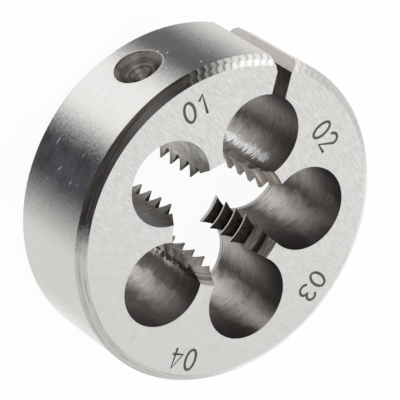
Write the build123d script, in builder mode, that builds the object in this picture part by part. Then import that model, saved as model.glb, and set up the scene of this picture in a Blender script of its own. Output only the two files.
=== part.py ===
from build123d import *
import os
from math import acos, cos, degrees, radians, sin, tan

os.makedirs("parts", exist_ok=True)

# Round split threading die for a left-hand M12 x 1.75 screw thread.
# Frame: Z is the thread axis, the die rests on z = 0, the slit opens toward +Y.

# Blank
rim_diameter = 33.34
thickness = 11.11
rim_radius = rim_diameter / 2

# Two-step edge break, the same round both faces: (radial, axial) run of each facet
outer_facet = (0.36, 0.50)
inner_facet = (0.52, 0.30)
shoulder_radius = rim_radius - outer_facet[0]
face_radius = shoulder_radius - inner_facet[0]

# Screw thread, cut left-handed
pitch = 1.75
major_radius = 6.00
crest_radius = 5.00
root_flat = 0.34
flank_angle = 30.0
# height above z = 0 at which the groove crosses the +X half-plane
groove_phase = 0.955
# the cutter starts inside the crest circle so that it breaks through everywhere
cutter_overrun = 0.15
cutter_inner_radius = crest_radius - cutter_overrun
cutter_mouth = root_flat + 2 * (major_radius - cutter_inner_radius) * tan(radians(flank_angle))

# Lead-in cones that truncate the first teeth
front_mouth_margin = 0.48
front_mouth_radius = major_radius + front_mouth_margin
front_lead_angle = 27.0
back_mouth_margin = 0.75
back_mouth_radius = major_radius + back_mouth_margin
back_lead_angle = 45.0
front_lead_depth = (front_mouth_radius - crest_radius) / tan(radians(front_lead_angle))
back_lead_depth = (back_mouth_radius - crest_radius) / tan(radians(back_lead_angle))

# Chip holes, one of them on +Y where the slit runs in
chip_hole_count = 5
chip_hole_radius = 4.32
# how far each chip hole breaks into the crest circle
chip_hole_opening = 0.55
chip_ring_radius = crest_radius + chip_hole_radius - chip_hole_opening
chip_ring_start = 90.0
chip_hole_step = 360 / chip_hole_count
land_angles = [chip_ring_start + (index + 0.5) * chip_hole_step for index in range(chip_hole_count)]

# half the angle that a land takes up on the crest circle, between two chip holes
hole_edge_cosine = (crest_radius**2 + chip_ring_radius**2 - chip_hole_radius**2) / (
    2 * crest_radius * chip_ring_radius
)
land_half_angle = chip_hole_step / 2 - degrees(acos(hole_edge_cosine))
# each bite of the thread is a stretch of the helix a little wider than a land
bite_margin = 5.6
bite_half_angle = land_half_angle + bite_margin
turns = range(int(thickness / pitch) + 3)

# Pilot drilling, run off the thread axis so that it blunts the teeth of the last land and the first
pilot_undersize = 0.25
pilot_radius = crest_radius - pilot_undersize
pilot_drift = 0.65
pilot_swing = chip_hole_step / 3
pilot_direction = land_angles[-1] + pilot_swing

# Slit from the rim into the chip hole, with a centring V at its mouth
slit_width = 1.72
slit_skew = 7.6
slit_mouth_x = -0.14
vee_half_width = 1.60
vee_half_angle = 30.0
vee_depth = vee_half_width / tan(radians(vee_half_angle))
tool_overrun = 1.5

# Drilled seats for the clamping screws, mirrored about the slit, a little below mid-height
seat_offset_angle = 45.5
seat_drop = 0.655
seat_height = thickness / 2 - seat_drop
seat_mouth_radius = 2.50
seat_step_outer_radius = 1.35
seat_step_inner_radius = 1.20
seat_step_depth = 1.00
seat_floor_depth = 2.10

with BuildPart() as thread_bite:
    with BuildLine() as bite_path:
        Helix(pitch=pitch, height=pitch * 2 * bite_half_angle / 360, radius=major_radius, lefthand=True)
    with BuildSketch(Plane.XZ) as cutter_section:
        with BuildLine():
            Polyline(
                (major_radius, -root_flat / 2),
                (major_radius, root_flat / 2),
                (cutter_inner_radius, cutter_mouth / 2),
                (cutter_inner_radius, -cutter_mouth / 2),
                close=True,
            )
        make_face()
    sweep(path=bite_path.line, is_frenet=True)

with BuildPart() as die_body:
    # turned blank: bore, lead-in cones and edge breaks in one half section
    with BuildSketch(Plane.XZ):
        with BuildLine():
            Polyline(
                (back_mouth_radius, 0),
                (face_radius, 0),
                (shoulder_radius, inner_facet[1]),
                (rim_radius, inner_facet[1] + outer_facet[1]),
                (rim_radius, thickness - inner_facet[1] - outer_facet[1]),
                (shoulder_radius, thickness - inner_facet[1]),
                (face_radius, thickness),
                (front_mouth_radius, thickness),
                (crest_radius, thickness - front_lead_depth),
                (crest_radius, back_lead_depth),
                close=True,
            )
        make_face()
    revolve(axis=Axis.Z)

    # pilot bore, slightly off the thread axis
    pilot_centre = (
        pilot_drift * cos(radians(pilot_direction)),
        pilot_drift * sin(radians(pilot_direction)),
    )
    with BuildSketch():
        with Locations(pilot_centre):
            Circle(pilot_radius)
    extrude(amount=thickness, mode=Mode.SUBTRACT)

    # chip holes
    with BuildSketch():
        with PolarLocations(chip_ring_radius, chip_hole_count, start_angle=chip_ring_start):
            Circle(chip_hole_radius)
    extrude(amount=thickness, mode=Mode.SUBTRACT)

    # thread, cut into each land as short stretches of one left-hand helix
    for land in land_angles:
        bite_angle = land + bite_half_angle
        bite_z = groove_phase - pitch * bite_angle / 360
        with Locations([Location((0, 0, bite_z + turn * pitch), (0, 0, bite_angle)) for turn in turns]):
            add(thread_bite.part, mode=Mode.SUBTRACT)

    # slit and centring V, both leaning by the same small skew
    slit_frame = Plane(
        origin=(slit_mouth_x, rim_radius, 0),
        x_dir=(cos(radians(slit_skew)), sin(radians(slit_skew)), 0),
        z_dir=(0, 0, 1),
    )
    slit_length = rim_radius - chip_ring_radius
    vee_top_half_width = vee_half_width + tool_overrun * tan(radians(vee_half_angle))
    with BuildSketch(slit_frame):
        with Locations((0, (tool_overrun - slit_length) / 2)):
            Rectangle(slit_width, slit_length + tool_overrun)
        with BuildLine():
            Polyline(
                (0, -vee_depth),
                (vee_top_half_width, tool_overrun),
                (-vee_top_half_width, tool_overrun),
                close=True,
            )
        make_face()
    extrude(amount=thickness, mode=Mode.SUBTRACT)

    # screw seats in the rim: an open cone, a narrow step and a centre-drill point
    seat_slope = (seat_mouth_radius - seat_step_outer_radius) / seat_step_depth
    for seat_angle in (90 + seat_offset_angle, 90 - seat_offset_angle):
        outward = (cos(radians(seat_angle)), sin(radians(seat_angle)), 0)
        seat_origin = (rim_radius * outward[0], rim_radius * outward[1], seat_height)
        seat_frame = Plane(origin=seat_origin, x_dir=(0, 0, 1), z_dir=(-outward[1], outward[0], 0))
        with BuildSketch(seat_frame):
            with BuildLine():
                Polyline(
                    (0, tool_overrun),
                    (seat_mouth_radius + tool_overrun * seat_slope, tool_overrun),
                    (seat_step_outer_radius, -seat_step_depth),
                    (seat_step_inner_radius, -seat_step_depth),
                    (0, -seat_floor_depth),
                    close=True,
                )
            make_face()
        revolve(axis=Axis(seat_origin, outward), mode=Mode.SUBTRACT)

die_body.part.label = "die_body"
export_step(die_body.part, "parts/die_body.step")
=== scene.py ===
from math import atan2, cos, degrees, pi, radians, sin
from types import SimpleNamespace

import bmesh
import bpy
from mathutils import Matrix, Vector


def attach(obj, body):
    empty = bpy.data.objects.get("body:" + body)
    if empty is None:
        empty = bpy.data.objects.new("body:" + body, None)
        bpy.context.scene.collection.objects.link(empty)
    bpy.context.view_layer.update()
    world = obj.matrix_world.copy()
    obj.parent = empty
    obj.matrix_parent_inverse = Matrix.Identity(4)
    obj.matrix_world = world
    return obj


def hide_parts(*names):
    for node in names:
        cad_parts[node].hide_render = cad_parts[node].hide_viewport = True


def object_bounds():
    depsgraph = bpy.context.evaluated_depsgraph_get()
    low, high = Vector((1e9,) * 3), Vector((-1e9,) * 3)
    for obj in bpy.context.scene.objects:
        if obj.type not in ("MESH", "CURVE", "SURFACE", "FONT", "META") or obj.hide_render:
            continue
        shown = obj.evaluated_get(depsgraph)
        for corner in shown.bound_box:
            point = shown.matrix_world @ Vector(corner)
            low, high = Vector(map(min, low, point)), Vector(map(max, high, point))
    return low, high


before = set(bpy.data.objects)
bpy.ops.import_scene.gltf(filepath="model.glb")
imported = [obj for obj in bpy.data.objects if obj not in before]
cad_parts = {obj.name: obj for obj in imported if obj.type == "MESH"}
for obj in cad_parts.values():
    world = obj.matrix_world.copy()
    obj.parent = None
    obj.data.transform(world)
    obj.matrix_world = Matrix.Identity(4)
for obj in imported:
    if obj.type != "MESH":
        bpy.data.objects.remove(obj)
cad_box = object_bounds()

MM = 0.001

# Sizes of the die as its solid has them, in millimetres. Bearings are degrees round its axis from +X.
RIM_RADIUS = -cad_box[0].x / MM
THICKNESS = cad_box[1].z / MM
# the two steps of the edge break round each face: how far each one runs in, and how deep it is
OUTER_EDGE = (0.36, 0.50)
INNER_EDGE = (0.52, 0.30)
SHOULDER_RADIUS = RIM_RADIUS - OUTER_EDGE[0]
FACE_RADIUS = SHOULDER_RADIUS - INNER_EDGE[0]
# the chip holes: how many, the radius of their ring, and the radius of each; the first opens into the slit
CHIP_HOLES = 5
CHIP_RING = 8.77
CHIP_HOLE = 4.32
CHIP_BEARINGS = [(90.0 - i * 360.0 / CHIP_HOLES) % 360.0 for i in range(CHIP_HOLES)]
SLIT_HOLE, RIGHT_HOLE, LOWER_RIGHT_HOLE, LOWER_LEFT_HOLE, LEFT_HOLE = CHIP_BEARINGS
# the lands that wore differently, each halfway between two holes
LAND_RIGHT_OF_SLIT = (RIGHT_HOLE + SLIT_HOLE) / 2
LAND_LEFT_OF_SLIT = (SLIT_HOLE + LEFT_HOLE) / 2
LOWEST_LAND = (LOWER_LEFT_HOLE + LOWER_RIGHT_HOLE) / 2
# the thread: pitch, height of a groove on +X, radius of the crests, and where its two lead cones start
PITCH = 1.75
GROOVE_PHASE = 0.955
CREST_RADIUS = 5.00
LEAD_START = 8.20
BACK_LEAD_TOP = 1.75
# the slit: its lean from +Y, where its mouth is, its width, and half the width of the vee at its mouth
SLIT_LEAN = 7.6
SLIT_MOUTH_X = -0.14
SLIT_WIDTH = 1.72
VEE_REACH = 2.4
# the clamping screws' seats: how far each is round from the slit, their height, radius and depth
SEAT_SWING = 45.5
SEAT_BEARINGS = (SLIT_HOLE + SEAT_SWING, SLIT_HOLE - SEAT_SWING)
SEAT_HEIGHT = 4.90
SEAT_MOUTH = 2.50
SEAT_REACH = 2.3


# ---------------------------------------------------------------- nodes and patterns

def linear(code):
    """An sRGB hex colour as the linear one that a shader takes."""
    parts = [int(code[i:i + 2], 16) / 255 for i in (1, 3, 5)]
    return [p / 12.92 if p <= 0.04045 else ((p + 0.055) / 1.055) ** 2.4 for p in parts] + [1.0]


def add(tree, kind, *inputs, **settings):
    """Adds a node with its settings and gives its first output. Its inputs come in their own order: a socket
    is linked, a value or a hex colour is set, and None is left as it is."""
    node = tree.nodes.new(kind)
    for name, value in settings.items():
        setattr(node, name, value)
    for socket, value in zip([s for s in node.inputs if s.enabled], inputs):
        if isinstance(value, bpy.types.NodeSocket):
            tree.links.new(value, socket)
        elif value is not None:
            socket.default_value = linear(value) if isinstance(value, str) else value
    return next((s for s in node.outputs if s.enabled), None)


# settings that many nodes share
SMOOTH = {"interpolation_type": "SMOOTHSTEP"}
COLOURS = {"data_type": "RGBA"}
TIMES = {"operation": "MULTIPLY"}
LARGER = {"operation": "MAXIMUM"}


def lobe(tree, value, centre, half_width):
    """1 at centre, falling smoothly to 0 at half_width either side."""
    off = add(tree, "ShaderNodeMath", value, centre, operation="SUBTRACT")
    off = add(tree, "ShaderNodeMath", off, operation="ABSOLUTE")
    return add(tree, "ShaderNodeMapRange", off, half_width, 0.0, **SMOOTH)


def band(tree, value, rise_from, rise_to, fall_from, fall_to):
    """0 below rise_from, 1 from rise_to to fall_from, 0 above fall_to."""
    rise = add(tree, "ShaderNodeMapRange", value, rise_from, rise_to, **SMOOTH)
    fall = add(tree, "ShaderNodeMapRange", value, fall_to, fall_from, **SMOOTH)
    return add(tree, "ShaderNodeMath", rise, fall, **TIMES)


def ragged(tree, value, grain, reach):
    """value pushed up or down, by up to half of reach, where the grain is light or dark."""
    push = add(tree, "ShaderNodeMath", grain, 0.5, operation="SUBTRACT")
    return add(tree, "ShaderNodeMath", push, reach, value, operation="MULTIPLY_ADD")


def streaks(tree, point, length, width, detail=3.0):
    """Grain drawn out round the die's axis, in streaks of that length, and of that width up the axis (mm)."""
    at = add(tree, "ShaderNodeVectorMath", point, (1 / length, 1 / length, 1 / width), **TIMES)
    return add(tree, "ShaderNodeTexNoise", at, 1.0, detail, 0.65)


def toward(bearing):
    """A level vector of length 1 toward a bearing."""
    return Vector((cos(radians(bearing)), sin(radians(bearing)), 0))


def from_seat(tree, here):
    """Distance from the axis of the nearer screw seat, in millimetres, on the side that has the seats."""
    level = add(tree, "ShaderNodeVectorMath", here.point, (0, 0, SEAT_HEIGHT), operation="SUBTRACT")
    distances = []
    for bearing in SEAT_BEARINGS:
        off = add(tree, "ShaderNodeVectorMath", level, toward(bearing), operation="CROSS_PRODUCT")
        distances.append(add(tree, "ShaderNodeVectorMath", off, operation="LENGTH"))
    nearer = add(tree, "ShaderNodeMath", *distances, operation="MINIMUM")
    far_side = add(tree, "ShaderNodeMath", here.y, 0.0, operation="LESS_THAN")
    return add(tree, "ShaderNodeMath", far_side, RIM_RADIUS, nearer, operation="MULTIPLY_ADD")


def scratch(tree, here, bearing, height, length, half_width, lean):
    """A short straight scratch on the rim: 1 on it, 0 off it. Millimetres, and degrees from the rim's run."""
    along = add(tree, "ShaderNodeMath", here.bearing, bearing, operation="SUBTRACT")
    along = add(tree, "ShaderNodeMath", along, radians(1) * RIM_RADIUS, **TIMES)
    up = add(tree, "ShaderNodeMath", here.z, height, operation="SUBTRACT")
    spot = add(tree, "ShaderNodeCombineXYZ", along, up)
    size = (length / 2, half_width, 1)
    spot = add(tree, "ShaderNodeMapping", spot, (0, 0, 0), (0, 0, radians(lean)), size, vector_type="TEXTURE")
    reach = add(tree, "ShaderNodeVectorMath", spot, operation="LENGTH")
    return add(tree, "ShaderNodeMapRange", reach, 1.0, 0.4, **SMOOTH)


# what the mesh carries at its corners, in degrees: the bearing of a point, and the one a hole's wall faces
CARRIED = ("bearing", "facing")


def start_finish(name, **uniform):
    """A new material, its tree, and what its patterns read: millimetres, and what the mesh carries."""
    material = bpy.data.materials.new(name)
    material.use_nodes = True
    tree = material.node_tree
    for socket, value in uniform.items():
        tree.nodes["Principled BSDF"].inputs[socket].default_value = value
    metres = add(tree, "ShaderNodeTexCoord").node.outputs["Object"]
    point = add(tree, "ShaderNodeVectorMath", metres, 1 / MM, operation="SCALE")
    y, z = add(tree, "ShaderNodeSeparateXYZ", point).node.outputs[1:]
    flat = add(tree, "ShaderNodeVectorMath", point, (1, 1, 0), **TIMES)
    radius = add(tree, "ShaderNodeVectorMath", flat, operation="LENGTH")
    carried = {a: add(tree, "ShaderNodeAttribute", attribute_name=a).node.outputs["Fac"] for a in CARRIED}
    return material, tree, SimpleNamespace(point=point, y=y, z=z, radius=radius, **carried)


def end_finish(tree, colour, roughness, relief, depth):
    """Wires the shader's colour, its roughness, and a bump of that depth in millimetres."""
    shader = tree.nodes["Principled BSDF"]
    bump = add(tree, "ShaderNodeBump", 1.0, depth * MM, None, relief)
    for socket, value in (("Base Color", colour), ("Roughness", roughness), ("Normal", bump)):
        tree.links.new(value, shader.inputs[socket])


# ---------------------------------------------------------------- finishes
#
# Named places are in degrees round the die or in millimetres. A place of two numbers is a middle and half a
# width, or the start and the end of a change. One of four is where a mark starts, is full, fades and is gone.
# A grain's scale is 1 over its size in millimetres, because points are in millimetres.

# the grinding lines of the marked face: their bearing, and the length and width of the fine and the deep ones
GRIND_BEARING = -28.0
FINE_LINE = (1.1, 0.13, 1.0)
DEEP_LINE = (0.95, 0.19, 1.0)
# from where to where the marked face tones down, measured toward the slit from its middle
TONING_DOWN = (6.0, -16.0)


def ground_face_steel():
    """High-speed steel, hardened and ground flat: short fine parallel lines and an even satin sheen."""
    material, tree, here = start_finish("ground_face_steel", Metallic=1.0)
    turn = (0, 0, radians(GRIND_BEARING))
    fine, deep = [add(tree, "ShaderNodeMapping", here.point, (0, 0, 0), turn, size, vector_type="TEXTURE")
                  for size in (FINE_LINE, DEEP_LINE)]
    fine = add(tree, "ShaderNodeTexNoise", fine, 1.0, 3.0, 0.6)
    deep = add(tree, "ShaderNodeTexNoise", deep, 1.0, 2.0, 0.5)
    deep = add(tree, "ShaderNodeMapRange", deep, 0.60, 0.74, 0.0, 0.30, **SMOOTH)
    broad = add(tree, "ShaderNodeTexNoise", here.point, 1 / 4.5, 3.0, 0.6)
    tone = add(tree, "ShaderNodeMapRange", fine, 0.30, 0.70, **SMOOTH)
    colour = add(tree, "ShaderNodeMix", tone, "#b8b7b5", "#d1d0ce", **COLOURS)
    # the steel tones down a little away from the slit
    lower = ragged(tree, here.y, broad, 9.0)
    lower = add(tree, "ShaderNodeMapRange", lower, *TONING_DOWN, 0.0, 0.8, **SMOOTH)
    colour = add(tree, "ShaderNodeMix", lower, colour, "#bebdbb", **COLOURS)
    colour = add(tree, "ShaderNodeMix", deep, colour, "#a09f9d", **COLOURS)
    # faint smudges, 1 mm or so across, and a few pale ones
    smudge = add(tree, "ShaderNodeTexNoise", here.point, 1 / 1.0, 5.0, 0.7)
    dull = add(tree, "ShaderNodeMapRange", smudge, 0.50, 0.72, 0.0, 0.30, **SMOOTH)
    pale = add(tree, "ShaderNodeMapRange", smudge, 0.45, 0.28, 0.0, 0.25, **SMOOTH)
    colour = add(tree, "ShaderNodeMix", dull, colour, "#aaa9a6", **COLOURS)
    colour = add(tree, "ShaderNodeMix", pale, colour, "#dbdad8", **COLOURS)
    end_finish(tree, colour, add(tree, "ShaderNodeMapRange", fine, 0.25, 0.75, 0.34, 0.44), fine, 0.0012)
    return material


# the rim's two bands of painted dark reflection, the painted bright reflection between them, and the painted
# bright reflection of the far side
RIGHT_DARK_REFLECTION = (98.0, 120.0, 124.0, 140.0)
LEFT_DARK_REFLECTION = (156.0, 171.0, 179.0, 204.0)
BRIGHT_REFLECTION_BETWEEN = (148.0, 26.0)
FAR_SIDE = (222.0, 242.0, 300.0, 350.0)
# where the rim is scratched, painted bright as glints, and then dark: bearing, height, length, half width,
# lean from its run
RIM_SCRATCHES = (
    (170.1, 3.2, 1.2, 0.065, 172.0),
    (177.5, 5.1, 0.95, 0.05, 140.0),
    (179.6, 7.4, 0.7, 0.05, 150.0),
    (124.9, 5.5, 0.4, 0.09, 20.0),
    (126.3, 4.5, 0.5, 0.08, 80.0),
    (120.6, 9.4, 0.4, 0.11, 40.0),
)
RIM_HAIRLINES = (
    (228.2, 4.8, 1.6, 0.06, 69.0),
    (113.4, 6.0, 1.3, 0.05, 123.0),
    (112.8, 7.3, 1.6, 0.05, 78.0),
)
# the burr that the countersink left round each screw seat, painted bright as a glint
SEAT_BURR = (SEAT_MOUTH + 0.03, 0.08)


def ground_rim_steel():
    """The same steel ground round between centres: lines run round the rim, over a painted reflection with
    two dark bands.
    """
    material, tree, here = start_finish("ground_rim_steel", Metallic=1.0, Anisotropic=0.6)
    fine = streaks(tree, here.point, 2.2, 0.13, 4.0)
    speckle = streaks(tree, here.point, 0.28, 0.14)
    cloud = add(tree, "ShaderNodeTexNoise", here.point, 1 / 3.3, 3.0, 0.6)
    # painted reflection: dark bands and bright stretches in the rim's colour stand in for what the rim
    # mirrors
    edge = ragged(tree, here.bearing, speckle, 11.0)
    dark_reflection = add(tree, "ShaderNodeMath", band(tree, edge, *RIGHT_DARK_REFLECTION), 0.92, **TIMES)
    dark_reflection = add(tree, "ShaderNodeMath", dark_reflection, band(tree, edge, *LEFT_DARK_REFLECTION), **LARGER)
    bright = lobe(tree, here.bearing, *BRIGHT_REFLECTION_BETWEEN)
    bright = add(tree, "ShaderNodeMath", bright, band(tree, here.bearing, *FAR_SIDE), **LARGER)
    light = add(tree, "ShaderNodeMix", bright, "#dad8d4", "#f3f2f0", **COLOURS)
    tone = add(tree, "ShaderNodeMapRange", cloud, 0.35, 0.65, **SMOOTH)
    reflected_dark = add(tree, "ShaderNodeMix", tone, "#313135", "#42424a", **COLOURS)
    colour = add(tree, "ShaderNodeMix", dark_reflection, light, reflected_dark, **COLOURS)
    tone = add(tree, "ShaderNodeMapRange", fine, 0.35, 0.65, 0.10, 0.0, **SMOOTH)
    colour = add(tree, "ShaderNodeMix", tone, colour, "#8a8783", **COLOURS)
    # bright nicks, painted as glints: scattered specks, the burrs and the listed scratches
    glint_specks = add(tree, "ShaderNodeTexNoise", here.point, 1 / 0.24, 0.0, 0.5)
    nicks_and_glints = add(tree, "ShaderNodeMapRange", glint_specks, 0.84, 0.88, **SMOOTH)
    seat = ragged(tree, from_seat(tree, here), speckle, 0.12)
    nicks_and_glints = add(tree, "ShaderNodeMath", nicks_and_glints, lobe(tree, seat, *SEAT_BURR), **LARGER)
    for settings in RIM_SCRATCHES:
        nicks_and_glints = add(tree, "ShaderNodeMath", nicks_and_glints, scratch(tree, here, *settings), **LARGER)
    nicks_and_glints = add(tree, "ShaderNodeMath", nicks_and_glints, 0.65, **TIMES)
    colour = add(tree, "ShaderNodeMix", nicks_and_glints, colour, "#e4e3e1", **COLOURS)
    hairs = 0.0
    for settings in RIM_HAIRLINES:
        hairs = add(tree, "ShaderNodeMath", hairs, scratch(tree, here, *settings), **LARGER)
    hairs = add(tree, "ShaderNodeMath", hairs, 0.45, **TIMES)
    colour = add(tree, "ShaderNodeMix", hairs, colour, "#55534f", **COLOURS)
    grit = add(tree, "ShaderNodeMath", fine, speckle, operation="ADD")
    end_finish(tree, colour, add(tree, "ShaderNodeMapRange", grit, 0.7, 1.3, 0.30, 0.44), grit, 0.0012)
    run = add(tree, "ShaderNodeTangent", direction_type="RADIAL", axis="Z")
    tree.links.new(run, tree.nodes["Principled BSDF"].inputs["Tangent"])
    return material


# stretches of the edge breaks: rubbed and given a painted highlight by the slit and on the right, scaled,
# milled and turned
RUBBED_HIGHLIT_BY_SLIT = (76.0, 88.0, 106.0, 121.0)
RUBBED_HIGHLIT_LOWER_RIGHT = (284.0, 300.0)
RUBBED_HIGHLIT_UPPER_RIGHT = (44.0, 22.0)
SCALED = (113.0, 125.0, 188.0, 202.0)
BESIDE_SCALE = (111.0, 117.0, 122.0, 132.0)
MILLED = (14.0, 44.0, 123.0, 131.0)
TURNED = (190.0, 204.0, 262.0, 290.0)
# where the scale is thinner, on the inner and on the outer break
THIN_INNER_SCALE = (147.0, 16.0)
THIN_OUTER_SCALE = (144.0, 12.0)
# the run of one bite of the mill, how much of one the outer break's bites lag behind, and where seams deepen
BITE = 2.93
BITE_LAG = 0.4
SEAMS_DEEPEN = (60.0, 92.0)
# the dark and the bright part of a bite beside the scale: middle, half width, strength and colour
BITE_TONES = ((0.4, 0.36, 0.6, "#3a3735"), (0.85, 0.33, 0.55, "#b5b3b0"))
# how far either side of the shoulder the two breaks run into one another
SHOULDER_BLEND = 0.08


def edge_break_steel():
    """The edge breaks: turned, left with dark scale on one side, and gone over by a mill beside the slit."""
    material, tree, here = start_finish("edge_break_steel", Metallic=1.0)
    fine = streaks(tree, here.point, 3.3, 0.083, 4.0)
    mottle = add(tree, "ShaderNodeTexNoise", here.point, 1 / 0.6, 4.0, 0.7)
    edge = ragged(tree, here.bearing, mottle, 10.0)
    # side is 0 on the inner break and 1 on the outer
    side = add(tree, "ShaderNodeMapRange", here.radius, SHOULDER_RADIUS - SHOULDER_BLEND,
               SHOULDER_RADIUS + SHOULDER_BLEND)
    inner = add(tree, "ShaderNodeMix", fine, "#c2c0bd", "#f6f5f3", **COLOURS)
    outer = add(tree, "ShaderNodeMix", fine, "#b3b0ab", "#eae8e5", **COLOURS)
    light = add(tree, "ShaderNodeMix", side, inner, outer, **COLOURS)
    # rubbed stretches, painted near white as a highlight
    rubbed_and_highlit = band(tree, edge, *RUBBED_HIGHLIT_BY_SLIT)
    for stretch in (RUBBED_HIGHLIT_LOWER_RIGHT, RUBBED_HIGHLIT_UPPER_RIGHT):
        right = add(tree, "ShaderNodeMapRange", edge, *stretch, **SMOOTH)
        rubbed_and_highlit = add(tree, "ShaderNodeMath", rubbed_and_highlit, right, **LARGER)
    light = add(tree, "ShaderNodeMix", rubbed_and_highlit, light, "#f4f3f1", **COLOURS)
    # the scale: brown on the outer break, black on the inner, a little thinner in its middle
    inner = lobe(tree, here.bearing, *THIN_INNER_SCALE)
    inner = add(tree, "ShaderNodeMix", inner, "#3b393a", "#605f60", **COLOURS)
    outer = lobe(tree, here.bearing, *THIN_OUTER_SCALE)
    outer = add(tree, "ShaderNodeMix", outer, "#37332f", "#4b4540", **COLOURS)
    scale = add(tree, "ShaderNodeMix", side, inner, outer, **COLOURS)
    thin = add(tree, "ShaderNodeMapRange", fine, 0.45, 0.70, 0.0, 0.55, **SMOOTH)
    scale = add(tree, "ShaderNodeMix", thin, scale, "#75716d", **COLOURS)
    colour = add(tree, "ShaderNodeMix", band(tree, edge, *SCALED), light, scale, **COLOURS)
    # each bite of the mill leaves a soft seam; beside the scale the bites are bright and dark by turns
    step = add(tree, "ShaderNodeMath", side, BITE_LAG * BITE, here.bearing, operation="MULTIPLY_ADD")
    bite = add(tree, "ShaderNodeMath", ragged(tree, step, mottle, 0.4), BITE, operation="DIVIDE")
    bite = add(tree, "ShaderNodeMath", bite, operation="FRACT")
    seam = add(tree, "ShaderNodeMath", lobe(tree, bite, 0.5, 0.30), band(tree, edge, *MILLED), **TIMES)
    depth = add(tree, "ShaderNodeMapRange", mottle, 0.35, 0.60, 0.15, 0.55, **SMOOTH)
    seam = add(tree, "ShaderNodeMath", seam, depth, **TIMES)
    deeper = add(tree, "ShaderNodeMapRange", edge, *SEAMS_DEEPEN, 0.35, 1.0)
    seam = add(tree, "ShaderNodeMath", seam, deeper, **TIMES)
    colour = add(tree, "ShaderNodeMix", seam, colour, "#96928e", **COLOURS)
    beside = band(tree, edge, *BESIDE_SCALE)
    for middle, half_width, strength, shade in BITE_TONES:
        by_turns = add(tree, "ShaderNodeMath", lobe(tree, bite, middle, half_width), beside, **TIMES)
        by_turns = add(tree, "ShaderNodeMath", by_turns, strength, **TIMES)
        colour = add(tree, "ShaderNodeMix", by_turns, colour, shade, **COLOURS)
    # turning lines on the side away from the slit
    turned = add(tree, "ShaderNodeMapRange", streaks(tree, here.point, 6.0, 0.05), 0.52, 0.62, **SMOOTH)
    turned = add(tree, "ShaderNodeMath", turned, band(tree, edge, *TURNED), **TIMES)
    turned = add(tree, "ShaderNodeMath", turned, 0.55, **TIMES)
    colour = add(tree, "ShaderNodeMix", turned, colour, "#7d7975", **COLOURS)
    relief = add(tree, "ShaderNodeMath", seam, -1.5, fine, operation="MULTIPLY_ADD")
    end_finish(tree, colour, add(tree, "ShaderNodeMapRange", mottle, 0.3, 0.7, 0.34, 0.50), relief, 0.002)
    return material


# Places on the chip holes' walls, where sheen, highlights and shade are painted into the colour.
# A place is a bearing round the die, and a wall is the bearing it faces.
SHEEN_WALL = (149.0, 31.0)
FAINTER_SHEEN_WALL = (212.0, 36.0)
LOWER_RIGHT_PLACE = (LOWER_RIGHT_HOLE, 32.0)
PALE_SHEEN_PLACE, PALE_SHEEN_WALL = (112.0, 128.0, 158.0, 178.0), (186.0, 198.0, 250.0, 266.0)
STREAKED_PLACE, STREAKED_WALL = (LEFT_HOLE + 4.0, 34.0), (70.0, 84.0, 116.0, 134.0)
LESS_SHEEN_PLACE, LESS_SHEEN_WALL = (SLIT_HOLE - 6.0, 36.0), (132.0, 150.0)
SHADED_CORNER_PLACE, SHADED_CORNER_WALL = (LOWEST_LAND - 9.0, 16.0), (156.0, 164.0, 174.0, 184.0)
GLINT_LINE_PLACE, GLINT_LINE_WALL = (LOWEST_LAND - 10.0, 18.0), (193.0, 12.0)
GLARE_PLACE, GLARE_WALL = (SLIT_HOLE - 15.0, 34.0), (145.0, 15.0)
BLOTCHED_PLACE, BLOTCHED_RADII = (236.0, 240.0, 262.0, 270.0), (5.7, 5.95, 6.4, 6.6)
# heights between which the painted sheen, the painted highlight line and the painted glare come up, down a
# hole from the marked face
SHEEN_HEIGHTS = (10.8, 1.0)
GLINT_LINE_HEIGHTS = (9.5, 5.0)
GLARE_HEIGHTS = (10.2, 8.2)
# heights of the line turned in each hole near the back face, and of the bright steel that starts in it
TURNED_LINE = (0.50, 0.10)
BRIGHT_BACK_HEIGHTS = (0.52, 0.40)
# radii between which the steel behind the teeth turns paler
PALER_RADII = (6.2, 5.8)


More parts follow.
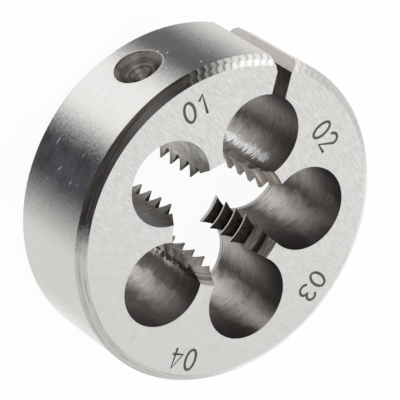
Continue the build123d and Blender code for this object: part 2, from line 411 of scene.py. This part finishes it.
def wall_sheen(tree, here, wander, torn, cloud, patch):
    """How much painted sheen each part of the chip holes' walls gets, from 0 to 1."""
    # two soft lobes of painted sheen, stronger down the hole
    deep = add(tree, "ShaderNodeMapRange", here.z, *SHEEN_HEIGHTS, 0.12, 1.0)
    lower_right = add(tree, "ShaderNodeMath", lobe(tree, here.bearing, *LOWER_RIGHT_PLACE), 0.62, **TIMES)
    deep = ragged(tree, add(tree, "ShaderNodeMath", deep, lower_right, **LARGER), cloud, 0.5)
    fainter = add(tree, "ShaderNodeMath", lobe(tree, wander, *FAINTER_SHEEN_WALL), 0.70, **TIMES)
    sheen = add(tree, "ShaderNodeMath", lobe(tree, wander, *SHEEN_WALL), fainter, **LARGER)
    sheen = add(tree, "ShaderNodeMath", sheen, deep, **TIMES)
    # the hole on the left has a painted pale sheen on its wall toward the rim
    pale = add(tree, "ShaderNodeMath", band(tree, here.bearing, *PALE_SHEEN_PLACE),
               band(tree, wander, *PALE_SHEEN_WALL), **TIMES)
    uneven = add(tree, "ShaderNodeMapRange", patch, 0.3, 0.7, 0.55, 1.0)
    pale = add(tree, "ShaderNodeMath", pale, uneven, **TIMES)
    sheen = add(tree, "ShaderNodeMath", sheen, pale, **LARGER)
    # and its other wall has less painted sheen, streaked with bars of painted sheen
    streaked = add(tree, "ShaderNodeMath", lobe(tree, here.bearing, *STREAKED_PLACE),
                   band(tree, wander, *STREAKED_WALL), **TIMES)
    less = add(tree, "ShaderNodeMath", streaked, -0.7, 1.0, operation="MULTIPLY_ADD")
    sheen = add(tree, "ShaderNodeMath", sheen, less, **TIMES)
    bars = add(tree, "ShaderNodeMapRange", streaks(tree, here.point, 1.6, 0.26), 0.46, 0.58, 0.22, 0.95,
               **SMOOTH)
    bars = add(tree, "ShaderNodeMath", streaked, bars, **TIMES)
    sheen = add(tree, "ShaderNodeMath", sheen, bars, **LARGER)
    # the slit's hole gets less painted sheen, least of all on its left wall
    dull = add(tree, "ShaderNodeMapRange", torn, *LESS_SHEEN_WALL, -0.85, -0.45, **SMOOTH)
    less = add(tree, "ShaderNodeMath", lobe(tree, here.bearing, *LESS_SHEEN_PLACE), dull, 1.0,
               operation="MULTIPLY_ADD")
    sheen = add(tree, "ShaderNodeMath", sheen, less, **TIMES)
    # the hole at the lower left has painted shade in a corner, and a painted highlight line between that and
    # the teeth
    corner = add(tree, "ShaderNodeMath", lobe(tree, here.bearing, *SHADED_CORNER_PLACE),
                 band(tree, wander, *SHADED_CORNER_WALL), **TIMES)
    less = add(tree, "ShaderNodeMath", corner, -0.7, 1.0, operation="MULTIPLY_ADD")
    sheen = add(tree, "ShaderNodeMath", sheen, less, **TIMES)
    line = add(tree, "ShaderNodeMath", lobe(tree, here.bearing, *GLINT_LINE_PLACE),
               lobe(tree, wander, *GLINT_LINE_WALL), **TIMES)
    deep = add(tree, "ShaderNodeMapRange", here.z, *GLINT_LINE_HEIGHTS, 0.0, 0.9)
    line = add(tree, "ShaderNodeMath", line, deep, **TIMES)
    return add(tree, "ShaderNodeMath", sheen, line, **LARGER)


def reamed_hole_steel():
    """The chip holes: reamed, then darkened in hardening. A dull soft painted sheen on brown-black with
    rings.
    """
    material, tree, here = start_finish("reamed_hole_steel", Metallic=1.0)
    rings = streaks(tree, here.point, 2.6, 0.11, 4.0)
    tear = streaks(tree, here.point, 0.9, 0.16, 4.0)
    cloud = add(tree, "ShaderNodeTexNoise", here.point, 1 / 1.5, 4.0, 0.62)
    patch = add(tree, "ShaderNodeTexNoise", here.point, 1 / 0.7, 3.0, 0.6)
    # the bearing that a wall faces, strayed a little by the grain, and the same torn into streaks
    wander = ragged(tree, ragged(tree, here.facing, cloud, 30.0), rings, 7.0)
    torn = ragged(tree, ragged(tree, here.facing, tear, 30.0), patch, 16.0)
    sheen = wall_sheen(tree, here, wander, torn, cloud, patch)
    tone = add(tree, "ShaderNodeMapRange", rings, 0.30, 0.70, **SMOOTH)
    # painted sheen: light steel colour where the walls shine, dark steel elsewhere
    dark = add(tree, "ShaderNodeMix", tone, "#403b38", "#55504d", **COLOURS)
    light = add(tree, "ShaderNodeMix", tone, "#b9b5b2", "#dcd9d6", **COLOURS)
    colour = add(tree, "ShaderNodeMix", sheen, dark, light, **COLOURS)
    # the slit's hole has a painted highlight along one line, with torn ends
    glare = add(tree, "ShaderNodeMath", lobe(tree, here.bearing, *GLARE_PLACE),
                   lobe(tree, torn, *GLARE_WALL), **TIMES)
    below = add(tree, "ShaderNodeMapRange", here.z, *GLARE_HEIGHTS, **SMOOTH)
    glare = add(tree, "ShaderNodeMath", glare, below, **TIMES)
    glare = add(tree, "ShaderNodeMapRange", glare, 0.22, 0.60, **SMOOTH)
    gaps = add(tree, "ShaderNodeMapRange", tear, 0.38, 0.58, 0.30, 1.0, **SMOOTH)
    glare = add(tree, "ShaderNodeMath", glare, gaps, **TIMES)
    colour = add(tree, "ShaderNodeMix", glare, colour, "#fafafa", **COLOURS)
    # pits, then the paler steel behind the teeth, with dark blotches at the lower left
    pits = add(tree, "ShaderNodeTexNoise", here.point, 1 / 0.4, 2.0, 0.5)
    pits = add(tree, "ShaderNodeMapRange", pits, 0.66, 0.74, 0.0, 0.6, **SMOOTH)
    colour = add(tree, "ShaderNodeMix", pits, colour, "#2b2725", **COLOURS)
    by_teeth = ragged(tree, here.radius, patch, 0.9)
    paler = add(tree, "ShaderNodeMapRange", by_teeth, *PALER_RADII, 0.0, 0.45, **SMOOTH)
    colour = add(tree, "ShaderNodeMix", paler, colour, "#8f8880", **COLOURS)
    blotch = add(tree, "ShaderNodeMath", band(tree, by_teeth, *BLOTCHED_RADII),
                 band(tree, here.bearing, *BLOTCHED_PLACE), **TIMES)
    uneven = add(tree, "ShaderNodeMapRange", patch, 0.40, 0.48, **SMOOTH)
    blotch = add(tree, "ShaderNodeMath", blotch, uneven, **TIMES)
    colour = add(tree, "ShaderNodeMix", blotch, colour, "#2f2824", **COLOURS)
    # a dark line turned just inside the back face, and the brighter steel beyond it
    back = add(tree, "ShaderNodeMapRange", here.z, *BRIGHT_BACK_HEIGHTS, 0.0, 0.65, **SMOOTH)
    colour = add(tree, "ShaderNodeMix", back, colour, "#bab7b4", **COLOURS)
    line = add(tree, "ShaderNodeMath", lobe(tree, here.z, *TURNED_LINE), 0.7, **TIMES)
    colour = add(tree, "ShaderNodeMix", line, colour, "#3a3634", **COLOURS)
    end_finish(tree, colour, add(tree, "ShaderNodeMapRange", cloud, 0.3, 0.7, 0.30, 0.46), rings, 0.0025)
    return material


# places on a tooth, as shares of a turn of the screw from groove to groove: the rubbed strip of its crest
# with its painted highlight, the facet that the lead cone cuts on it, and that facet's two corners
RUBBED_HIGHLIT_CREST = (0.405, 0.43, 0.485, 0.52)
FACET = (0.16, 0.24, 0.76, 0.84)
FACET_CORNERS = ((0.20, 0.035), (0.80, 0.035))
# how far up a flank the rubbed strip and its painted highlight reach, and the heights between which the last
# crest's strip shifts
HIGHLIGHT_DEPTH = 0.30
LAST_CREST = (2.6, 2.4)
# half the stretch of bearing over which a land's own tint fades
LAND_REACH = 30.0


def cut_thread_steel():
    """The teeth: flanks dark from hardening, crests rubbed bright with a painted highlight, some lands worn
    paler than the rest.
    """
    material, tree, here = start_finish("cut_thread_steel")
    cloud = add(tree, "ShaderNodeTexNoise", here.point, 1 / 0.6, 4.0, 0.7)
    fine = streaks(tree, here.point, 1.6, 0.15, 4.0)
    mottle = add(tree, "ShaderNodeMapRange", cloud, 0.35, 0.65, **SMOOTH)
    lines = add(tree, "ShaderNodeMapRange", fine, 0.35, 0.65, **SMOOTH)
    # the share of a turn of the screw that a point is on: 0.5 is the middle of a crest
    turn = add(tree, "ShaderNodeMath", here.z, GROOVE_PHASE, operation="SUBTRACT")
    turn = add(tree, "ShaderNodeMath", turn, PITCH, operation="DIVIDE")
    turn = add(tree, "ShaderNodeMath", here.bearing, 1 / 360.0, turn, operation="MULTIPLY_ADD")
    turn = add(tree, "ShaderNodeMath", turn, 1.0, operation="ADD")
    turn = add(tree, "ShaderNodeMath", turn, operation="FRACT")
    colour = add(tree, "ShaderNodeMix", mottle, "#262220", "#413b37", **COLOURS)
    # the rubbed strip of each crest, painted near white as a highlight
    near_crest = add(tree, "ShaderNodeMapRange", here.radius, CREST_RADIUS + HIGHLIGHT_DEPTH, CREST_RADIUS)
    shift = add(tree, "ShaderNodeMapRange", here.z, *LAST_CREST, 0.0, 0.10)
    crest = add(tree, "ShaderNodeMath", turn, shift, operation="SUBTRACT")
    rubbed_and_highlit = add(tree, "ShaderNodeMath", near_crest, band(tree, crest, *RUBBED_HIGHLIT_CREST), **TIMES)
    colour = add(tree, "ShaderNodeMix", rubbed_and_highlit, colour, "#d2cec8", **COLOURS)
    right = lobe(tree, here.bearing, LAND_RIGHT_OF_SLIT, LAND_REACH)
    beige = add(tree, "ShaderNodeMix", mottle, "#9d938a", "#bdb3aa", **COLOURS)
    colour = add(tree, "ShaderNodeMix", right, colour, beige, **COLOURS)
    lowest = lobe(tree, here.bearing, LOWEST_LAND, LAND_REACH)
    grey = add(tree, "ShaderNodeMix", mottle, "#87827c", "#a7a29c", **COLOURS)
    colour = add(tree, "ShaderNodeMix", lowest, colour, grey, **COLOURS)
    left = lobe(tree, here.bearing, LAND_LEFT_OF_SLIT, LAND_REACH)
    left = add(tree, "ShaderNodeMath", left, 0.6, **TIMES)
    colour = add(tree, "ShaderNodeMix", left, colour, "#9d9892", **COLOURS)
    # the lead cone: grey facets, with what is left of the groove dark between them
    facet = band(tree, turn, *FACET)
    grey = add(tree, "ShaderNodeMix", lines, "#67625d", "#9a958f", **COLOURS)
    lead = add(tree, "ShaderNodeMix", facet, "#332f2c", grey, **COLOURS)
    warm = add(tree, "ShaderNodeMix", lines, "#a3968a", "#e0d7ce", **COLOURS)
    warm = add(tree, "ShaderNodeMix", facet, "#9b9087", warm, **COLOURS)
    lead = add(tree, "ShaderNodeMix", right, lead, warm, **COLOURS)
    cool = add(tree, "ShaderNodeMix", lines, "#c9c6c2", "#dedbd8", **COLOURS)
    cool = add(tree, "ShaderNodeMix", facet, "#a9a5a0", cool, **COLOURS)
    corners = [lobe(tree, turn, *place) for place in FACET_CORNERS]
    corners = add(tree, "ShaderNodeMath", *corners, **LARGER)
    cool = add(tree, "ShaderNodeMix", corners, cool, "#5f5a55", **COLOURS)
    lead = add(tree, "ShaderNodeMix", lowest, lead, cool, **COLOURS)
    cone = add(tree, "ShaderNodeMapRange", here.z, LEAD_START, LEAD_START + 0.25, 0.0, 0.9, **SMOOTH)
    colour = add(tree, "ShaderNodeMix", cone, colour, lead, **COLOURS)
    # the ends of the teeth at the back are ground off bright
    back = add(tree, "ShaderNodeMapRange", here.z, BACK_LEAD_TOP + 0.35, BACK_LEAD_TOP + 0.15, **SMOOTH)
    uneven = add(tree, "ShaderNodeMapRange", fine, 0.35, 0.50, 0.35, 0.9)
    back = add(tree, "ShaderNodeMath", back, uneven, **TIMES)
    colour = add(tree, "ShaderNodeMix", back, colour, "#cbc8c3", **COLOURS)
    # where the steel was left matte by the grinding wheel it no longer mirrors
    matte = add(tree, "ShaderNodeMath", lowest, cone, **TIMES)
    matte = add(tree, "ShaderNodeMath", matte, right, **LARGER)
    matte = add(tree, "ShaderNodeMath", matte, 0.75, **TIMES)
    metal = add(tree, "ShaderNodeMath", 1.0, matte, operation="SUBTRACT")
    tree.links.new(metal, tree.nodes["Principled BSDF"].inputs["Metallic"])
    end_finish(tree, colour, add(tree, "ShaderNodeMapRange", cloud, 0.3, 0.7, 0.32, 0.50), cloud, 0.01)
    return material


def sawn_slit_steel():
    """The slit's walls, cut with a thin wheel: brown-black, with fine lines along the cut."""
    material, tree, here = start_finish("sawn_slit_steel", Metallic=1.0)
    lines = streaks(tree, here.point, 2.5, 0.18, 4.0)
    tone = add(tree, "ShaderNodeMapRange", lines, 0.3, 0.7, **SMOOTH)
    colour = add(tree, "ShaderNodeMix", tone, "#58514c", "#8d857e", **COLOURS)
    end_finish(tree, colour, add(tree, "ShaderNodeMapRange", lines, 0.3, 0.7, 0.36, 0.50), lines, 0.004)
    return material


def milled_vee_steel():
    """The centring vee at the slit's mouth: a matte beige-grey milled face."""
    material, tree, here = start_finish("milled_vee_steel", Metallic=1.0)
    lines = streaks(tree, here.point, 0.35, 0.9, 4.0)
    spots = add(tree, "ShaderNodeTexNoise", here.point, 1 / 0.45, 2.0, 0.5)
    spots = add(tree, "ShaderNodeMapRange", spots, 0.60, 0.72, 0.0, 0.5, **SMOOTH)
    colour = add(tree, "ShaderNodeMix", lines, "#b9b4ae", "#dad6d1", **COLOURS)
    colour = add(tree, "ShaderNodeMix", spots, colour, "#928d87", **COLOURS)
    end_finish(tree, colour, add(tree, "ShaderNodeMapRange", lines, 0.3, 0.7, 0.45, 0.58), lines, 0.003)
    return material


def countersunk_seat_steel():
    """The clamping screws' seats: brown-grey, with the rings that the countersink left."""
    material, tree, here = start_finish("countersunk_seat_steel", Metallic=1.0)
    cloud = add(tree, "ShaderNodeTexNoise", here.point, 1 / 0.8, 4.0, 0.6)
    ring = add(tree, "ShaderNodeMath", from_seat(tree, here), 1 / 0.12, **TIMES)
    rings = add(tree, "ShaderNodeCombineXYZ", ring, add(tree, "ShaderNodeMath", cloud, 0.9, **TIMES))
    rings = add(tree, "ShaderNodeTexNoise", rings, 1.0, 2.0, 0.6)
    tone = add(tree, "ShaderNodeMapRange", rings, 0.35, 0.65, **SMOOTH)
    colour = add(tree, "ShaderNodeMix", tone, "#57524d", "#7d7872", **COLOURS)
    dull = add(tree, "ShaderNodeMapRange", cloud, 0.50, 0.70, 0.0, 0.6, **SMOOTH)
    colour = add(tree, "ShaderNodeMix", dull, colour, "#3f3a36", **COLOURS)
    end_finish(tree, colour, add(tree, "ShaderNodeMapRange", cloud, 0.3, 0.7, 0.30, 0.42), rings, 0.004)
    return material


def engraved_groove_steel():
    """Engraved strokes: narrow round-nosed grooves, dulled by residue."""
    material, tree, here = start_finish("engraved_groove_steel", Metallic=0.4)
    cloud = add(tree, "ShaderNodeTexNoise", here.point, 1 / 0.33, 3.0, 0.6)
    colour = add(tree, "ShaderNodeMix", cloud, "#5f5953", "#7f7972", **COLOURS)
    end_finish(tree, colour, add(tree, "ShaderNodeMapRange", cloud, 0.3, 0.7, 0.50, 0.65), cloud, 0.002)
    return material


FINISHES = {
    "face": ground_face_steel,
    "rim": ground_rim_steel,
    "edge": edge_break_steel,
    "hole": reamed_hole_steel,
    "thread": cut_thread_steel,
    "slit": sawn_slit_steel,
    "vee": milled_vee_steel,
    "seat": countersunk_seat_steel,
    "groove": engraved_groove_steel,
}
SLOTS = list(FINISHES)


# ---------------------------------------------------------------- index numbers

# plain index numbers, one near each of four lands: text, bearing, and radius of its middle
INDEX_NUMBERS = (("01", 129.5, 13.3), ("02", 53.5, 12.65), ("03", -21.0, 13.65), ("04", -88.7, 14.15))
# the height of a digit, the run from one to the next, and the middle of a digit in digit heights
DIGIT_HEIGHT = 2.15
DIGIT_PITCH = 1.66
DIGIT_MIDDLE = (0.30, 0.50)
# the engraver's round-nosed tool: its radius, and how many sides stand for its round
STROKE_RADIUS = 0.145
TOOL_SIDES = 12


def bow(x, y, across, up, start, end, steps):
    """Points on part of an ellipse, in digit heights, from one bearing to another."""
    turns = [radians(start + (end - start) * i / steps) for i in range(steps + 1)]
    return [(x + across * cos(t), y + up * sin(t)) for t in turns]


# strokes of each digit, in digit heights
DIGITS = {
    "0": [bow(0.30, 0.50, 0.26, 0.49, 90, 450, 24)],
    "1": [[(0.10, 0.76), (0.34, 0.99), (0.34, 0.01)]],
    "2": [bow(0.30, 0.73, 0.25, 0.26, 170, -20, 12) + [(0.04, 0.02), (0.57, 0.02)]],
    "3": [bow(0.29, 0.75, 0.23, 0.24, 160, -90, 12) + bow(0.29, 0.26, 0.27, 0.25, 90, -160, 14)[1:]],
    "4": [[(0.44, 0.01), (0.44, 0.99), (0.03, 0.30), (0.60, 0.30)]],
}


def stroke_paths():
    """The paths of the engraver's tool for all the index numbers, as one curve in the marked face."""
    curve = bpy.data.curves.new("engraver_paths", "CURVE")
    curve.dimensions = "3D"
    for text, bearing, radius in INDEX_NUMBERS:
        outward = toward(bearing)
        right = Vector((outward.y, -outward.x, 0))
        for position, digit in enumerate(text):
            shift = (position - (len(text) - 1) / 2) * DIGIT_PITCH
            for stroke in DIGITS[digit]:
                spline = curve.splines.new("POLY")
                spline.points.add(len(stroke) - 1)
                for point, (x, y) in zip(spline.points, stroke):
                    up = radius + (y - DIGIT_MIDDLE[1]) * DIGIT_HEIGHT
                    spot = outward * up + right * (shift + (x - DIGIT_MIDDLE[0]) * DIGIT_HEIGHT)
                    point.co = (spot.x * MM, spot.y * MM, THICKNESS * MM, 1)
    paths = bpy.data.objects.new("engraver_paths", curve)
    bpy.context.scene.collection.objects.link(paths)
    return paths


def engraver_tree(material):
    """Geometry nodes: a round-nosed tool swept along every path. The tool's radius is an input."""
    tree = bpy.data.node_groups.new("engraver", "GeometryNodeTree")
    tree.interface.new_socket("Paths", in_out="INPUT", socket_type="NodeSocketGeometry")
    tree.interface.new_socket("Tool radius", in_out="INPUT", socket_type="NodeSocketFloat")
    tree.interface.new_socket("Cuts", in_out="OUTPUT", socket_type="NodeSocketGeometry")
    entry = add(tree, "NodeGroupInput").node
    paths, radius = entry.outputs["Paths"], entry.outputs["Tool radius"]
    tool = add(tree, "GeometryNodeCurvePrimitiveCircle", TOOL_SIDES, radius, mode="RADIUS")
    cuts = add(tree, "GeometryNodeCurveToMesh", paths, tool, None, True)
    cuts = add(tree, "GeometryNodeRealizeInstances", cuts)
    cuts = add(tree, "GeometryNodeSetMaterial", cuts, None, material)
    add(tree, "NodeGroupOutput", cuts)
    return tree


def plain_mesh(thing):
    """The mesh of an object with its modifiers applied; the object itself goes."""
    mesh = bpy.data.meshes.new_from_object(thing.evaluated_get(bpy.context.evaluated_depsgraph_get()))
    bpy.data.objects.remove(thing)
    return mesh


def engraved(mesh):
    """The mesh with the index numbers cut into its marked face, their grooves in their own finish."""
    paths = stroke_paths()
    sweep = paths.modifiers.new("engraver", "NODES")
    sweep.node_group = engraver_tree(mesh.materials[SLOTS.index("groove")])
    sockets = {item.name: item.identifier for item in sweep.node_group.interface.items_tree}
    sweep[sockets["Tool radius"]] = STROKE_RADIUS * MM
    cuts = bpy.data.objects.new("cuts", plain_mesh(paths))
    body = bpy.data.objects.new("blank", mesh)
    for thing in (cuts, body):
        bpy.context.scene.collection.objects.link(thing)
    carve = body.modifiers.new("engrave", "BOOLEAN")
    carve.object = cuts
    carve.operation = "DIFFERENCE"
    carve.solver = "EXACT"
    carve.use_self = True
    carve.material_mode = "TRANSFER"
    result = plain_mesh(body)
    bpy.data.objects.remove(cuts)
    return result


# ---------------------------------------------------------------- the die

# how near a point has to be to a surface to lie on it, and how much a seat's mouth spreads on the round rim
TOUCHING = 0.02
SEAT_SPREAD = 0.12
# limits for the part of a face's normal that points up, or out: square on, sloping, and upright
SQUARE = 0.99
SLOPING = 0.3
UPRIGHT = 0.05
# corners closer than this are one, in metres, and edges blunter than this are shaded smooth, in degrees
MERGED_WITHIN = 1e-7
SMOOTH_BELOW = 28.0


def hole_of(point):
    """The centre of the chip hole whose wall a point lies on, if any."""
    for bearing in CHIP_BEARINGS:
        centre = CHIP_RING * toward(bearing).xy
        if abs((point.xy - centre).length - CHIP_HOLE) < TOUCHING:
            return centre
    return None


def in_seat(point, normal):
    """Whether a face, by its middle and its normal, is part of a screw seat."""
    for bearing in SEAT_BEARINGS:
        outward = toward(bearing)
        run = point.dot(outward)
        off = point - outward * run - Vector((0, 0, SEAT_HEIGHT))
        inside = run > RIM_RADIUS - SEAT_REACH and off.length < SEAT_MOUTH + SEAT_SPREAD
        if inside and normal.dot(outward) > 0:
            return True
    return False


def finish_of(points, normal):
    """A face's finish, and the rule for its true normal at a point where it is curved."""
    centre = sum(points, Vector()) / len(points)
    outward = Vector((centre.x, centre.y, 0)).normalized()
    from_face = min(centre.z, THICKNESS - centre.z)
    if abs(normal.z) > SQUARE:
        return "face", lambda p: normal
    if all(hole_of(p) for p in points) and abs(normal.z) < UPRIGHT:
        return "hole", lambda p: Vector((*(hole_of(p) - p.xy).normalized(), 0))
    if all(abs(p.xy.length - RIM_RADIUS) < TOUCHING for p in points) and normal.dot(outward) > SQUARE:
        return "rim", lambda p: Vector((p.x, p.y, 0)).normalized()
    by_edge = centre.xy.length > FACE_RADIUS - TOUCHING and from_face < INNER_EDGE[1] + OUTER_EDGE[1]
    if by_edge and abs(normal.z) > SLOPING:
        run, rise = INNER_EDGE if from_face < INNER_EDGE[1] else OUTER_EDGE
        slope = Vector((rise, run)).normalized()
        up = slope.y if normal.z > 0 else -slope.y
        return "edge", lambda p: Vector((*(p.xy.normalized() * slope.x), up))
    if in_seat(centre, normal):
        return "seat", None
    if centre.y > CHIP_RING and abs(centre.x) < VEE_REACH:
        from_mouth = centre.xy - Vector((SLIT_MOUTH_X, RIM_RADIUS))
        across = Matrix.Rotation(-radians(SLIT_LEAN), 2) @ from_mouth
        return ("slit" if abs(across.x) < SLIT_WIDTH / 2 + TOUCHING else "vee"), None
    return "thread", None


def near(angle, middle):
    """An angle in degrees, with whole turns added until it is nearest to middle, so no face spans a jump."""
    return middle + (angle - middle + 180) % 360 - 180


def carry_bearings(mesh):
    """Writes each corner's bearing, and the bearing that a chip hole's wall faces there, on the mesh."""
    bearings = mesh.attributes.new("bearing", "FLOAT", "CORNER").data
    facings = mesh.attributes.new("facing", "FLOAT", "CORNER").data
    for face in mesh.polygons:
        middle = degrees(atan2(face.center.y, face.center.x)) % 360
        outlook = degrees(atan2(face.normal.y, face.normal.x)) % 360
        for corner, vertex in zip(face.loop_indices, face.vertices):
            point = mesh.vertices[vertex].co / MM
            bearings[corner].value = near(degrees(atan2(point.y, point.x)), middle)
            centre = hole_of(point) if face.material_index == SLOTS.index("hole") else None
            if centre:
                to_centre = centre - point.xy
                facings[corner].value = near(degrees(atan2(to_centre.y, to_centre.x)), outlook)


def finished_die():
    """The die's solid as one smooth-shaded mesh with its engraving, each face in its own finish."""
    shape = bmesh.new()
    shape.from_mesh(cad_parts["die_body"].data)
    bmesh.ops.remove_doubles(shape, verts=shape.verts, dist=MERGED_WITHIN)
    bmesh.ops.recalc_face_normals(shape, faces=shape.faces)
    mesh = bpy.data.meshes.new("blank")
    shape.to_mesh(mesh)
    shape.free()
    for name in ("custom_normal", "sharp_edge", "sharp_face"):
        if name in mesh.attributes:
            mesh.attributes.remove(mesh.attributes[name])
    mesh.materials.clear()
    for make in FINISHES.values():
        mesh.materials.append(make())
    mesh.polygons.foreach_set("material_index", [0] * len(mesh.polygons))
    mesh = engraved(mesh)
    mesh.name = "die_finished"
    mesh.shade_smooth()
    mesh.set_sharp_from_angle(angle=radians(SMOOTH_BELOW))
    normals = [Vector(n.vector) for n in mesh.corner_normals]
    for face in mesh.polygons:
        if face.material_index == SLOTS.index("groove"):
            continue
        points = [mesh.vertices[v].co / MM for v in face.vertices]
        finish, rule = finish_of(points, face.normal.copy())
        face.material_index = SLOTS.index(finish)
        if rule:
            for corner, point in zip(face.loop_indices, points):
                normals[corner] = rule(point)
    mesh.normals_split_custom_set(normals)
    carry_bearings(mesh)
    die = bpy.data.objects.new("die_finished", mesh)
    bpy.context.scene.collection.objects.link(die)
    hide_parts("die_body")
    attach(die, "root")


# ---------------------------------------------------------------- floor, light and camera

# the floor, in metres: its side, and its level just under the die's back face, so that the two don't flicker
FLOOR_SIDE = 2.4
FLOOR_LEVEL = -0.02 * MM
# how much of the floor's brightness is its own white; the rest is lit, and keeps the die's shadow
FLOOR_WHITE = 0.94
# how bright the white room is as light on the die; the camera sees it as full white
ROOM_LIGHT = 0.72

# softboxes: bearing and elevation of their direction, then distance, width and height in metres, brightness
SOFTBOXES = {
    "key": (-18.0, 50.0, 0.50, 0.42, 0.42, 0.69),
    "fill": (140.0, 35.0, 0.50, 0.30, 0.40, 1.0),
    "rear": (60.0, 30.0, 0.50, 0.20, 0.30, 0.9),
}

# the camera: its place in metres, its three axes, and its lens and sensor width in millimetres
CAMERA_PLACE = (-0.171434, 0.056494, 0.212287)
CAMERA_RIGHT = (0.76851738, 0.33023145, 0.5480221)
CAMERA_UP = (-0.13631146, 0.92135416, -0.36404079)
CAMERA_BACK = (-0.62514016, 0.20506998, 0.75309102)
LENS = 256.446
SENSOR = 36.0


def white_floor():
    """White paper under the die, seen as plain white and still shaded by the die."""
    half = FLOOR_SIDE / 2
    corners = [(x, y, FLOOR_LEVEL) for x, y in ((-half, -half), (half, -half), (half, half), (-half, half))]
    mesh = bpy.data.meshes.new("floor")
    mesh.from_pydata(corners, [], [(0, 1, 2, 3)])
    floor = bpy.data.objects.new("floor", mesh)
    bpy.context.scene.collection.objects.link(floor)
    material = bpy.data.materials.new("white_paper")
    material.use_nodes = True
    tree = material.node_tree
    tree.nodes.clear()
    rays = add(tree, "ShaderNodeLightPath").node.outputs
    seen = add(tree, "ShaderNodeMath", rays["Is Camera Ray"], rays["Is Glossy Ray"], **LARGER)
    seen = add(tree, "ShaderNodeMath", seen, rays["Is Transmission Ray"], **LARGER)
    share = add(tree, "ShaderNodeMath", seen, FLOOR_WHITE, **TIMES)
    lit = add(tree, "ShaderNodeBsdfDiffuse", (0.95, 0.95, 0.95, 1))
    white = add(tree, "ShaderNodeEmission", (1, 1, 1, 1), 1.0)
    add(tree, "ShaderNodeOutputMaterial", add(tree, "ShaderNodeMixShader", share, lit, white))
    mesh.materials.append(material)


def softbox(name, bearing, elevation, distance, width, height, brightness):
    """A soft lamp that looks at the die from that direction."""
    lamp = bpy.data.lights.new(name, "AREA")
    lamp.shape = "RECTANGLE"
    lamp.size = width
    lamp.size_y = height
    # an area lamp of this power is as bright as a surface of that brightness
    lamp.energy = brightness * pi * width * height
    direction = toward(bearing) * cos(radians(elevation)) + Vector((0, 0, sin(radians(elevation))))
    box = bpy.data.objects.new(name, lamp)
    box.location = direction * distance
    box.rotation_euler = direction.to_track_quat("Z", "Y").to_euler()
    bpy.context.scene.collection.objects.link(box)


def white_room():
    """A plain white room: full white to the camera, dimmer as light on the die."""
    world = bpy.data.worlds.new("room")
    world.use_nodes = True
    tree = world.node_tree
    tree.nodes.clear()
    seen = add(tree, "ShaderNodeLightPath").node.outputs["Is Camera Ray"]
    strength = add(tree, "ShaderNodeMapRange", seen, 0.0, 1.0, ROOM_LIGHT, 1.0)
    add(tree, "ShaderNodeOutputWorld", add(tree, "ShaderNodeBackground", (1, 1, 1, 1), strength))
    bpy.context.scene.world = world


def die_camera():
    """The camera, which looks from the left and above with a long lens."""
    data = bpy.data.cameras.new("camera")
    data.lens = LENS
    data.sensor_width = SENSOR
    data.clip_start = 0.01
    camera = bpy.data.objects.new("camera", data)
    axes = Matrix((CAMERA_RIGHT, CAMERA_UP, CAMERA_BACK)).transposed()
    camera.matrix_world = Matrix.Translation(CAMERA_PLACE) @ axes.to_4x4()
    bpy.context.scene.collection.objects.link(camera)
    bpy.context.scene.camera = camera


finished_die()
white_floor()
white_room()
for name, settings in SOFTBOXES.items():
    softbox(name, *settings)
die_camera()
bpy.context.scene.view_settings.view_transform = "Standard"
